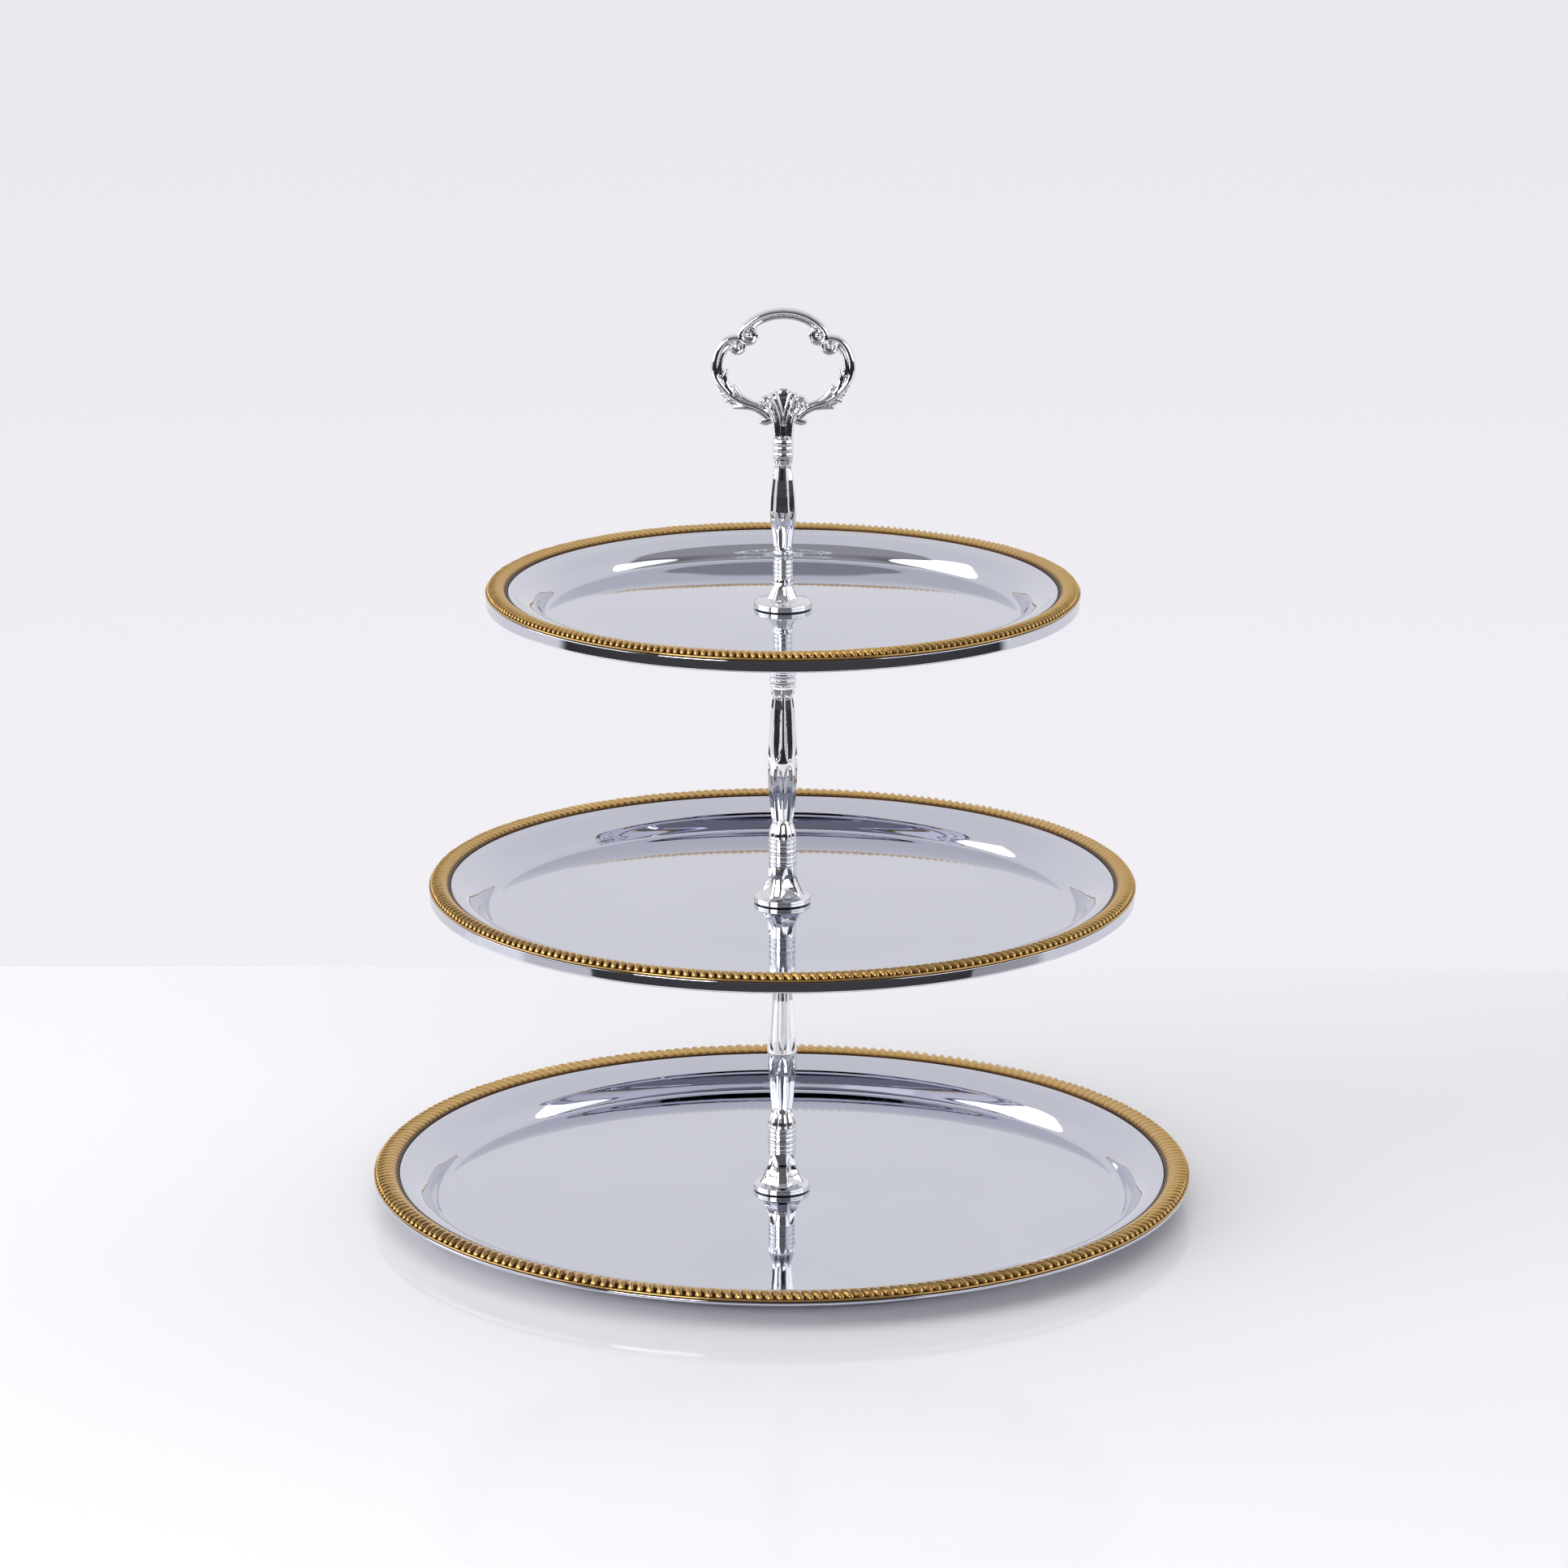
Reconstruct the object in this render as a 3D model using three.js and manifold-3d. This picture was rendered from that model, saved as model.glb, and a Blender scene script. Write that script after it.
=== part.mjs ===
// Three-tier cake stand: three round pressed trays with gadrooned gold borders, held one above the
// other by cast baluster stems, with a scrolled carrying handle at the top.
// Millimetres, +Z up. The origin is on the table, on the axis of the column.

import * as THREE from "three";
import { mergeVertices } from "three/addons/utils/BufferGeometryUtils.js";
import Module from "manifold-3d";

const wasm = await Module();
wasm.setup();

// ---------------------------------------------------------------- driving dimensions

const GAP = 0.3; // clearance kept between pieces that touch

// trays: outer radius, depth from the outer lip down to the edge of the floor, border width and
// the distance of the pressed crease from the outer edge
const TRAYS = {
  lower: { radius: 175, depth: 12.1, border: 10.8, crease: 13.4 },
  middle: { radius: 150, depth: 11.0, border: 9.1, crease: 11.3 },
  upper: { radius: 125, depth: 9.9, border: 9.3, crease: 12.2 },
};
const SHEET = 0.8; // thickness of the tray sheet
const DOME = 2.2; // rise of the tray floor from its edge to its centre
const SEAT_RADIUS = 14; // flat in the middle of the floor where the column is clamped
const TRAY_HOLE_RADIUS = 2.9;
const TIER_SPACING = 128.2; // from one tray to the next, measured at the centre of the floors
const TRAY_SEGMENTS = 40;

// stems
const FLANGE_RADIUS = 12.1;
const FLANGE_HEIGHT = 2.7;
const CAPITAL_RADIUS = 10; // disc at the top of a stem that carries the next tray
const STEM_SEGMENTS = 16;
const FLUTES = 8;
const ARCHES = 4;
const UPPER_STEM_HEIGHT = 72.3; // from its flange to the parting line under the handle

// fasteners: M5 between the trays, M4 under the handle
const M5_RADIUS = 2.4;
const M5_BORE_RADIUS = 2.65;
const M4_RADIUS = 1.9;
const M4_BORE_RADIUS = 2.15;
const STUD_REACH = 8; // how far a stud goes into the piece on each side of the joint
const BORE_DEPTH = STUD_REACH + 1.5;
const WASHER_RADIUS = 8;
const WASHER_THICKNESS = 0.6;
const FOOT_WASHER_RADIUS = 7;
const FOOT_WASHER_THICKNESS = 0.5;
const SCREW_HEAD_RADIUS = 5.5;
const SCREW_HEAD_THICKNESS = 0.8;
const PIN_SEGMENTS = 16;

// handle
const HANDLE_DEPTH = 5; // front to back
const HANDLE_TOP = 387.2;
const VOLUTE_TOP = { x: 14.4, z: 375.6, radius: 3.9 };
const VOLUTE_SIDE = { x: 19.4, z: 370.8, radius: 3.4 };

// heights that follow from the stack
const LOWER_FLOOR_EDGE = SHEET; // the floor's edge stands on the table
const LOWER_SEAT = LOWER_FLOOR_EDGE + DOME;
const MIDDLE_SEAT = LOWER_SEAT + TIER_SPACING;
const UPPER_SEAT = MIDDLE_SEAT + TIER_SPACING;
const STEM_HEIGHT = TIER_SPACING - SHEET - 2 * GAP;
const HANDLE_BASE = UPPER_SEAT + GAP + UPPER_STEM_HEIGHT + GAP;

// ---------------------------------------------------------------- materials

function metal(color, roughness) {
  return new THREE.MeshStandardMaterial({ color, roughness, metalness: 1 });
}

const silverPlate = () => metal(0xd6d8de, 0.08);
const goldPlate = () => metal(0xd9a85c, 0.22);
const chromeCasting = () => metal(0xcfd2d6, 0.06);
const zincSteel = () => metal(0xa6a8ab, 0.35);
const clearPlastic = () =>
  new THREE.MeshStandardMaterial({ color: 0xdfe5e8, roughness: 0.25, metalness: 0 });

// ---------------------------------------------------------------- geometry helpers

const point = (radius, height) => new THREE.Vector2(radius, height);

// Turns a profile of [radius, height] points about Z. Listed from the bottom of the axis, round
// the outside and back to the axis, or as a closed anticlockwise ring.
function turned(points, segments) {
  const lathe = new THREE.LatheGeometry(points, segments);
  lathe.rotateX(Math.PI / 2);
  return lathe;
}

function ring(points, segments) {
  return turned([...points, points[0].clone()], segments);
}

// A line of points and its parallel on the right-hand side, one sheet thickness away, as one ring.
function thickened(line, thickness) {
  const normal = (from, to) => {
    const along = to.clone().sub(from).normalize();
    return point(along.y, -along.x);
  };
  const moved = line.map((p, i) => {
    const first = i === 0;
    const last = i === line.length - 1;
    const before = first ? normal(p, line[1]) : normal(line[i - 1], p);
    const after = last ? before : normal(p, line[i + 1]);
    const mitre = thickness / (1 + before.dot(after));
    return p.clone().addScaledVector(before.add(after), mitre);
  });
  return [...moved, ...line.slice().reverse()];
}

function disc(inner, outer, low, high, segments) {
  const corners = [point(inner, low), point(outer, low), point(outer, high), point(inner, high)];
  return ring(corners, segments);
}

function toManifold(geometry) {
  const bare = geometry.clone();
  bare.deleteAttribute("normal");
  bare.deleteAttribute("uv");
  const merged = mergeVertices(bare, 1e-4);
  const vertProperties = new Float32Array(merged.attributes.position.array);
  const triVerts = new Uint32Array(merged.index.array);
  return new wasm.Manifold(new wasm.Mesh({ numProp: 3, vertProperties, triVerts }));
}

function fromManifold(solid) {
  const mesh = solid.getMesh();
  const geometry = new THREE.BufferGeometry();
  geometry.setAttribute("position", new THREE.BufferAttribute(mesh.vertProperties, 3));
  geometry.setIndex(new THREE.BufferAttribute(mesh.triVerts, 1));
  geometry.computeVertexNormals();
  return geometry;
}

function joined(geometries) {
  return fromManifold(geometries.map(toManifold).reduce((all, next) => all.add(next)));
}

function named(name, geometry, material) {
  const mesh = new THREE.Mesh(geometry, material);
  mesh.name = name;
  return mesh;
}

// ---------------------------------------------------------------- trays

// The sheet: flat seat, domed floor, hollow wall, narrow flange, crease and a sunk ledge that
// carries the border. Heights are above the top of the floor's edge.
function traySheet({ radius, depth, border, crease }) {
  const at = (fromEdge, height) => point(radius - fromEdge, height);
  const floorRadius = radius - crease - 17.5;
  const dome = (r) => DOME * (1 - ((r - SEAT_RADIUS) / (floorRadius - SEAT_RADIUS)) ** 2);
  const standing = 4; // width of the flat ring at the edge of the floor that meets the table
  const line = [
    point(TRAY_HOLE_RADIUS, DOME),
    point(SEAT_RADIUS, DOME),
    point(floorRadius * 0.65, dome(floorRadius * 0.65)),
    point(floorRadius - standing, 0),
    point(floorRadius, 0),
    at(crease + 15.3, 1.2),
    at(crease + 12, depth - 5),
    at(crease + 9.5, depth - 1.6),
    at(crease + 6.5, depth - 0.4),
    at(crease, depth + 0.3),
    at(border + 0.5, depth + 0.4),
    at(border - 0.1, depth - 0.3),
    at(0.4, depth - 1.0),
  ];
  return ring(thickened(line, SHEET), TRAY_SEGMENTS);
}

// The border: a low crowned ring that lies on the ledge of the sheet.
function trayBorder({ radius, depth, border }) {
  const at = (share, height) => point(radius - share * border, depth + height);
  const section = [
    at(0.96, 0.05),
    at(0.04, -0.6),
    at(0, 0),
    at(0.12, 0.9),
    at(0.42, 2.6),
    at(0.72, 2.2),
    at(0.96, 1.0),
  ];
  return ring(section, TRAY_SEGMENTS);
}

function tray(level, seat) {
  const size = TRAYS[level];
  const group = new THREE.Group();
  group.position.z = seat - DOME;
  group.add(named(`${level}_tray`, traySheet(size), silverPlate()));
  group.add(named(`${level}_tray_border`, trayBorder(size), goldPlate()));
  return group;
}

// ---------------------------------------------------------------- stems

// Pulls the surface in between ribs: as flat flutes on the baluster, as tall arches on the foot.
function fluted(geometry, bands) {
  const position = geometry.attributes.position;
  for (let i = 0; i < position.count; i++) {
    const [x, y, z] = [position.getX(i), position.getY(i), position.getZ(i)];
    const band = bands.find(({ from, to }) => z >= from && z <= to);
    const radius = Math.hypot(x, y);
    if (!band || radius < M5_BORE_RADIUS + 0.5) continue;
    const hollow = (1 - Math.cos(band.count * Math.atan2(y, x))) / 2;
    const scale = 1 - band.depth * hollow;
    position.setXYZ(i, x * scale, y * scale, z);
  }
  return geometry;
}

// A stack of half-round rings: points at each groove and each crest.
function rings(low, high, count, crest, groove) {
  const step = (high - low) / count;
  const points = [];
  for (let i = 0; i < count; i++) {
    points.push(point(groove, low + i * step + 0.15 * step));
    points.push(point(crest, low + i * step + 0.5 * step));
  }
  points.push(point(groove, high - 0.15 * step));
  return points;
}

// The recess under a foot holds the clear washer, and the bore above it takes the thread.
function footPoints(flangeRadius, boreRadius, boreTop) {
  const recess = WASHER_THICKNESS + GAP;
  return [
    point(0, boreTop),
    point(boreRadius, boreTop),
    point(boreRadius, recess),
    point(WASHER_RADIUS + GAP, recess),
    point(WASHER_RADIUS + GAP, 0),
    point(flangeRadius, 0),
    point(flangeRadius, FLANGE_HEIGHT),
  ];
}

function topBorePoints(boreRadius, top) {
  return [point(boreRadius, top), point(boreRadius, top - BORE_DEPTH), point(0, top - BORE_DEPTH)];
}

// Lower and middle stems are the same casting: foot, rings, bead, baluster, bead, rings, capital.
function tierStem() {
  const top = STEM_HEIGHT;
  const profile = [
    ...footPoints(FLANGE_RADIUS, M5_BORE_RADIUS, BORE_DEPTH),
    point(9.4, FLANGE_HEIGHT),
    point(7.6, 6.2),
    point(5.9, 10.8),
    point(5.9, 16.6),
    ...rings(17.0, 27.2, 4, 6.0, 5.2),
    point(5.9, 29.6),
    point(4.2, 34.6),
    point(5.5, 46.0),
    point(6.3, 62.0),
    point(5.6, 75.0),
    point(4.3, 90.0),
    point(5.6, 94.6),
    ...rings(95.4, 103.4, 3, 5.9, 5.2),
    point(5.9, 104.4),
    point(5.9, 112.0),
    point(8.6, top - 2.4),
    point(CAPITAL_RADIUS, top - 2.2),
    point(CAPITAL_RADIUS, top),
    ...topBorePoints(M5_BORE_RADIUS, top),
  ];
  const bands = [
    { from: 6, to: 11, count: ARCHES, depth: 0.22 },
    { from: 34, to: 91, count: FLUTES, depth: 0.1 },
    { from: 111, to: 113, count: ARCHES, depth: 0.2 },
  ];
  return fluted(turned(profile, STEM_SEGMENTS), bands);
}

function upperStem() {
  const top = UPPER_STEM_HEIGHT;
  const profile = [
    ...footPoints(FLANGE_RADIUS + 0.2, M5_BORE_RADIUS, BORE_DEPTH),
    point(6.9, 3.6),
    point(4.6, 9.2),
    point(4.4, 11.6),
    ...rings(12.6, 20.4, 3, 4.2, 3.7),
    point(4.2, 22.4),
    point(3.6, 24.6),
    point(4.9, 32.6),
    point(5.7, 41.0),
    point(5.2, 48.0),
    point(3.5, 61.4),
    point(4.3, 63.4),
    ...rings(64.0, 71.8, 3, 4.45, 4.0),
    point(4.2, top),
    ...topBorePoints(M4_BORE_RADIUS, top),
  ];
  const bands = [
    { from: 5, to: 9.5, count: FLUTES, depth: 0.1 },
    { from: 24, to: 62, count: FLUTES, depth: 0.1 },
  ];
  return fluted(turned(profile, STEM_SEGMENTS), bands);
}

function stem(name, geometry, seat) {
  const mesh = named(name, geometry, chromeCasting());
  mesh.position.z = seat + GAP;
  return mesh;
}

// ---------------------------------------------------------------- fasteners

// A threaded rod with chamfered ends, from low to high, drawn at its thread's outer radius.
function stud(name, radius, low, high) {
  const chamfer = 0.5;
  const profile = [
    point(0, low),
    point(radius - chamfer, low),
    point(radius, low + chamfer),
    point(radius, high - chamfer),
    point(radius - chamfer, high),
    point(0, high),
  ];
  return named(name, turned(profile, PIN_SEGMENTS), zincSteel());
}

function tierStud(name, seat) {
  const bottom = seat - SHEET - GAP - STUD_REACH;
  return stud(name, M5_RADIUS, bottom, seat + GAP + STUD_REACH);
}

function clearWasher(name, seat) {
  const low = seat + GAP;
  const body = disc(M5_BORE_RADIUS, WASHER_RADIUS, low, low + WASHER_THICKNESS, STEM_SEGMENTS);
  return named(name, body, clearPlastic());
}

function footWasher() {
  const high = LOWER_SEAT - SHEET - GAP;
  const low = high - FOOT_WASHER_THICKNESS;
  const body = disc(M5_BORE_RADIUS, FOOT_WASHER_RADIUS, low, high, STEM_SEGMENTS);
  return named("foot_washer", body, zincSteel());
}

// A thin-headed slotted screw that comes up through the lower tray into the lower stem.
function footScrew() {
  const headTop = LOWER_SEAT - SHEET - 2 * GAP - FOOT_WASHER_THICKNESS;
  const headBottom = headTop - SCREW_HEAD_THICKNESS;
  const tip = LOWER_SEAT + GAP + STUD_REACH;
  const profile = [
    point(0, headBottom),
    point(SCREW_HEAD_RADIUS - 0.3, headBottom),
    point(SCREW_HEAD_RADIUS, headBottom + 0.3),
    point(SCREW_HEAD_RADIUS, headTop),
    point(M5_RADIUS, headTop),
    point(M5_RADIUS, tip - 0.5),
    point(M5_RADIUS - 0.5, tip),
    point(0, tip),
  ];
  const slotDepth = 0.45;
  const slot = new THREE.BoxGeometry(7, 1.1, 2 * slotDepth);
  slot.translate(0, 0, headBottom);
  const screw = toManifold(turned(profile, PIN_SEGMENTS)).subtract(toManifold(slot));
  return named("foot_screw", fromManifold(screw), zincSteel());
}

// ---------------------------------------------------------------- handle

// A rod of oval section along a curve through [x, z] points in the plane of the handle.
function rod(points, width, depth, steps) {
  const curve = new THREE.CatmullRomCurve3(points.map(([x, z]) => new THREE.Vector3(x, 0, z)));
  const section = new THREE.Shape();
  section.absellipse(0, 0, depth / 2, width / 2, 0, 2 * Math.PI);
  return new THREE.ExtrudeGeometry(section, { steps, curveSegments: 4, extrudePath: curve });
}

// A flat plate with an outline of [x, z] points, centred front to back.
function plate(outline, depth) {
  const shape = new THREE.Shape(outline.map(([x, z]) => point(x, z)));
  const body = new THREE.ExtrudeGeometry(shape, { depth, bevelEnabled: false, curveSegments: 6 });
  body.rotateX(Math.PI / 2);
  body.translate(0, depth / 2, 0);
  return body;
}

function drum({ x, z, radius }, depth, side) {
  const body = new THREE.CylinderGeometry(radius, radius, depth, 14);
  body.translate(side * x, 0, z);
  return body;
}

// One side of the handle: C-scroll with its volute, the branch down to the neck, and its leaves.
function handleSide(side) {
  const mirrored = (points) => {
    const turnedOver = points.map(([x, z]) => [side * x, z]);
    return side > 0 ? turnedOver : turnedOver.reverse();
  };
  const scroll = [
    [19.8, 373.0],
    [23.3, 372.0],
    [27.2, 366.4],
    [28.5, 361.0],
    [27.9, 356.6],
    [24.6, 351.0],
    [19.7, 347.9],
    [10.2, 345.0],
    [4.0, 340.5],
  ];
  const leaves = [
    [[26.6, 353.0], [23.6, 361.5], [21.6, 351.0]],
    [[20.6, 348.6], [20.4, 355.4], [14.6, 346.8]],
    [[25.4, 352.0], [19.0, 347.4], [24.7, 346.8]],
    [[21.0, 348.0], [13.6, 345.6], [21.1, 344.4]],
  ];
  const hook = new THREE.SphereGeometry(2.3, 10, 6);
  hook.scale(1.2, 1, 0.9);
  hook.translate(side * 8.2, 0, 339.6);
  return [
    rod(mirrored(scroll), 3.9, HANDLE_DEPTH, 22),
    drum(VOLUTE_SIDE, HANDLE_DEPTH + 0.4, side),
    drum(VOLUTE_TOP, HANDLE_DEPTH + 0.6, side),
    ...leaves.map((leaf, i) => plate(mirrored(leaf), HANDLE_DEPTH - 1.2 - 0.2 * i)),
    rod(mirrored([[8.2, 339.8], [6.0, 341.6], [3.0, 341.0]]), 2.4, 3.4, 4),
    hook,
  ];
}

function handle() {
  const archWidth = 4.2;
  const crown = HANDLE_TOP - archWidth / 2;
  const half = [
    [16.6, 374.6],
    [16.4, 377.4],
    [13.4, 380.8],
    [8.0, 383.7],
  ];
  const arch = [...half, [0, crown], ...half.map(([x, z]) => [-x, z]).reverse()];
  const fan = [
    [3.6, 338],
    [4.6, 341],
    [8.6, 344.6],
    [9.6, 347.4],
    [8.2, 349.8],
    [5.7, 350.6],
    [3.9, 352.2],
    [0, 352.7],
  ];
  const fanOutline = [...fan, ...fan.slice(0, -1).map(([x, z]) => [-x, z]).reverse()];
  const neck = turned(
    [
      point(0, HANDLE_BASE + BORE_DEPTH),
      point(M4_BORE_RADIUS, HANDLE_BASE + BORE_DEPTH),
      point(M4_BORE_RADIUS, HANDLE_BASE),
      point(4.0, HANDLE_BASE),
      point(4.0, HANDLE_BASE + 2),
      point(4.3, 340),
      point(4.3, 344.5),
      point(0, 344.5),
    ],
    STEM_SEGMENTS,
  );
  const pieces = [
    rod(arch, archWidth, HANDLE_DEPTH, 20),
    ...handleSide(1),
    ...handleSide(-1),
    plate(fanOutline, HANDLE_DEPTH + 1),
  ];
  const solid = toManifold(joined(pieces)).add(toManifold(neck)).subtract(toManifold(neckBore()));
  return named("handle", fromManifold(solid), chromeCasting());
}

function neckBore() {
  const low = HANDLE_BASE - 1;
  const bore = new THREE.CylinderGeometry(
    M4_BORE_RADIUS,
    M4_BORE_RADIUS,
    BORE_DEPTH + 1,
    PIN_SEGMENTS,
  );
  bore.rotateX(Math.PI / 2);
  bore.translate(0, 0, low + (BORE_DEPTH + 1) / 2);
  return bore;
}

// ---------------------------------------------------------------- assembly

const stand = new THREE.Group();
stand.add(tray("lower", LOWER_SEAT));
stand.add(tray("middle", MIDDLE_SEAT));
stand.add(tray("upper", UPPER_SEAT));
stand.add(stem("lower_stem", tierStem(), LOWER_SEAT));
stand.add(stem("middle_stem", tierStem(), MIDDLE_SEAT));
stand.add(stem("upper_stem", upperStem(), UPPER_SEAT));
stand.add(clearWasher("lower_clear_washer", LOWER_SEAT));
stand.add(clearWasher("middle_clear_washer", MIDDLE_SEAT));
stand.add(clearWasher("upper_clear_washer", UPPER_SEAT));
stand.add(tierStud("middle_stud", MIDDLE_SEAT));
stand.add(tierStud("upper_stud", UPPER_SEAT));
stand.add(stud("handle_stud", M4_RADIUS, HANDLE_BASE - STUD_REACH, HANDLE_BASE + STUD_REACH));
stand.add(footScrew());
stand.add(footWasher());
stand.add(handle());

export default stand;
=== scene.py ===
"""Looks of the three-tier cake stand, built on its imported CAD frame."""

import math

import bmesh
import bpy
import numpy as np
from mathutils import Matrix, Vector


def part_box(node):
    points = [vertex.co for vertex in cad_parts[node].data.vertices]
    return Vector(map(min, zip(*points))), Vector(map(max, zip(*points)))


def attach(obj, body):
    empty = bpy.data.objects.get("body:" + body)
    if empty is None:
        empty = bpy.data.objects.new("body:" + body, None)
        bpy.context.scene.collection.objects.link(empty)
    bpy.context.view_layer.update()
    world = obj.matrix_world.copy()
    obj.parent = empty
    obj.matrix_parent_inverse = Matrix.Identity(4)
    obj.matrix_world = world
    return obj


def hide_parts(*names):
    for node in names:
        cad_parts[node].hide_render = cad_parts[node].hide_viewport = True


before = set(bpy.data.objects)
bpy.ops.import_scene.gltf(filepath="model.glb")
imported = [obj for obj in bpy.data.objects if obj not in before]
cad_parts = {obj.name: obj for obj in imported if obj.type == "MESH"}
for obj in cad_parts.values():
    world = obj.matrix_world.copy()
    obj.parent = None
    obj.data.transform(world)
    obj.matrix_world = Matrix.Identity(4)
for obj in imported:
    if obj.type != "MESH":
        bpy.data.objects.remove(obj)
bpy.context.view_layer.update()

MM = 0.001  # shapes are worked out in millimetres and turned to metres as a mesh is made
SHEET = 0.8  # thickness of the tray sheet
LEVELS = ("lower", "middle", "upper")
BORDER = {"lower": 10.8, "middle": 9.1, "upper": 9.3}  # width of the gold border
CREASE = {"lower": 13.4, "middle": 11.3, "upper": 12.2}  # from the outer edge in to the crease
FLANGE = {"lower": (10.5, 5.6), "middle": (10.4, 5.8), "upper": (9.0, 3.3)}  # slope's width and fall
SKIRT = {"lower": (1.9, 8.4), "middle": (5.0, 6.5), "upper": (5.3, 5.5)}  # outer rim's drop, lean in degrees
LIP = 2.6  # height of the border's crown over the sheet it lies on
LOBES = 264  # gadroons round each border
BORE = {"M5": 2.65, "M4": 2.15}  # radius of a hole for each thread
STEM_TURN = {"lower": 2.5, "middle": -20.0, "upper": -6.0}  # degrees, as each one was screwed tight


# ---------------------------------------------------------------- lines and meshes


def box(node):
    """Lowest and highest corner of a CAD node, in millimetres."""
    low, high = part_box(node)
    return np.array(low) / MM, np.array(high) / MM


def spaced(points, step):
    """The same line as points about step apart."""
    points = np.array(points, float)
    along = np.concatenate([[0], np.cumsum(np.linalg.norm(np.diff(points, axis=0), axis=1))])
    at = np.linspace(0, along[-1], max(2, round(along[-1] / step) + 1))
    return np.column_stack([np.interp(at, along, column) for column in points.T])


def softened(points, blur, step=0.2):
    """The line with its corners rounded over about blur millimetres; its ends stay put."""
    line = spaced(points, step)
    reach = min(int(3 * blur / step) + 1, len(line) - 1)
    weights = np.exp(-0.5 * (np.arange(-reach, reach + 1) * step / blur) ** 2)
    weights /= weights.sum()
    before = 2 * line[0] - line[reach:0:-1]
    after = 2 * line[-1] - line[-2 : -reach - 2 : -1]
    padded = np.vstack([before, line, after])
    return np.column_stack([np.convolve(column, weights, "valid") for column in padded.T])


def curve(points, count):
    """A smooth curve through the points, as count points (Catmull-Rom)."""
    p = np.array(points, float)
    p = np.vstack([2 * p[0] - p[1], p, 2 * p[-1] - p[-2]])
    at = np.linspace(0, len(p) - 3, count)
    i = np.minimum(at.astype(int), len(p) - 4)
    t = (at - i)[:, None]
    a, b, c, d = p[i], p[i + 1], p[i + 2], p[i + 3]
    bend = (2 * a - 5 * b + 4 * c - d) * t**2 + (3 * b - a - 3 * c + d) * t**3
    return 0.5 * (2 * b + (c - a) * t + bend)


def smooth_step(low, high, x):
    """0 below low, 1 above high, and an even curve between."""
    t = np.clip((x - low) / (high - low), 0, 1)
    return t * t * (3 - 2 * t)


def band(x, start, end):
    """1 between two stretches, rising along the first and falling along the second."""
    return smooth_step(*start, x) * (1 - smooth_step(*end, x))


def new_mesh(name, points, quads, relief=None):
    """A smooth mesh object from points in millimetres, with its faces turned outwards.
    relief, one value a point, is kept for the material."""
    a, b, c = (points[quads[:, k]] for k in (0, 1, 2))
    d = points[quads[:, 3]]
    volume = np.einsum("ij,ij->", a, np.cross(b, c)) + np.einsum("ij,ij->", a, np.cross(c, d))
    if volume < 0:
        quads = quads[:, ::-1]
    mesh = bpy.data.meshes.new(name)
    mesh.vertices.add(len(points))
    mesh.vertices.foreach_set("co", (points * MM).astype(np.float32).ravel())
    mesh.loops.add(quads.size)
    mesh.loops.foreach_set("vertex_index", np.ascontiguousarray(quads, np.int32).ravel())
    mesh.polygons.add(len(quads))
    mesh.polygons.foreach_set("loop_start", np.arange(0, quads.size, 4, dtype=np.int32))
    mesh.polygons.foreach_set("use_smooth", np.ones(len(quads), bool))
    if relief is not None:
        layer = mesh.attributes.new("relief", "FLOAT", "POINT")
        layer.data.foreach_set("value", np.asarray(relief, np.float32).ravel())
    mesh.update(calc_edges=True)
    mesh.validate()
    obj = bpy.data.objects.new(name, mesh)
    bpy.context.scene.collection.objects.link(obj)
    return obj


def grid_quads(rows, columns, rows_close):
    """Quads of a grid of points whose columns go all the way round."""
    first_rows = np.arange(rows if rows_close else rows - 1)
    row, column = np.meshgrid(first_rows, np.arange(columns), indexing="ij")
    next_row, next_column = (row + 1) % rows, (column + 1) % columns
    corners = [(row, column), (row, next_column), (next_row, next_column), (next_row, column)]
    return np.stack([r * columns + c for r, c in corners], -1).reshape(-1, 4)


def turned(name, line, segments, shape=None, relief=None):
    """A turned solid. line is a closed ring of (radius, height), or runs from axis to axis.
    shape(radius, height, angle) gives the radius and height there; angle 0 is the front."""
    line = np.array(line, float)
    on_axis = line[0, 0] < 1e-6
    angle = np.arange(segments) * 2 * math.pi / segments
    radius, height, angle = np.broadcast_arrays(line[:, :1], line[:, 1:2], angle[None, :])
    if shape:
        radius, height = shape(radius, height, angle)
    points = np.stack([radius * np.sin(angle), -radius * np.cos(angle), height + 0 * angle], -1)
    obj = new_mesh(name, points.reshape(-1, 3), grid_quads(len(line), segments, not on_axis), relief)
    if on_axis:
        merge_close(obj)
    return obj


def merge_close(obj):
    """Joins the points that meet on the axis."""
    work = bmesh.new()
    work.from_mesh(obj.data)
    bmesh.ops.remove_doubles(work, verts=work.verts, dist=1e-7)
    work.to_mesh(obj.data)
    work.free()


def settle(obj, material, body, nodes):
    """Gives a piece its material and says what it rides on and stands for."""
    obj.data.materials.clear()
    obj.data.materials.append(material)
    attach(obj, body)
    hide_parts(*nodes)


# ---------------------------------------------------------------- materials


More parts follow.
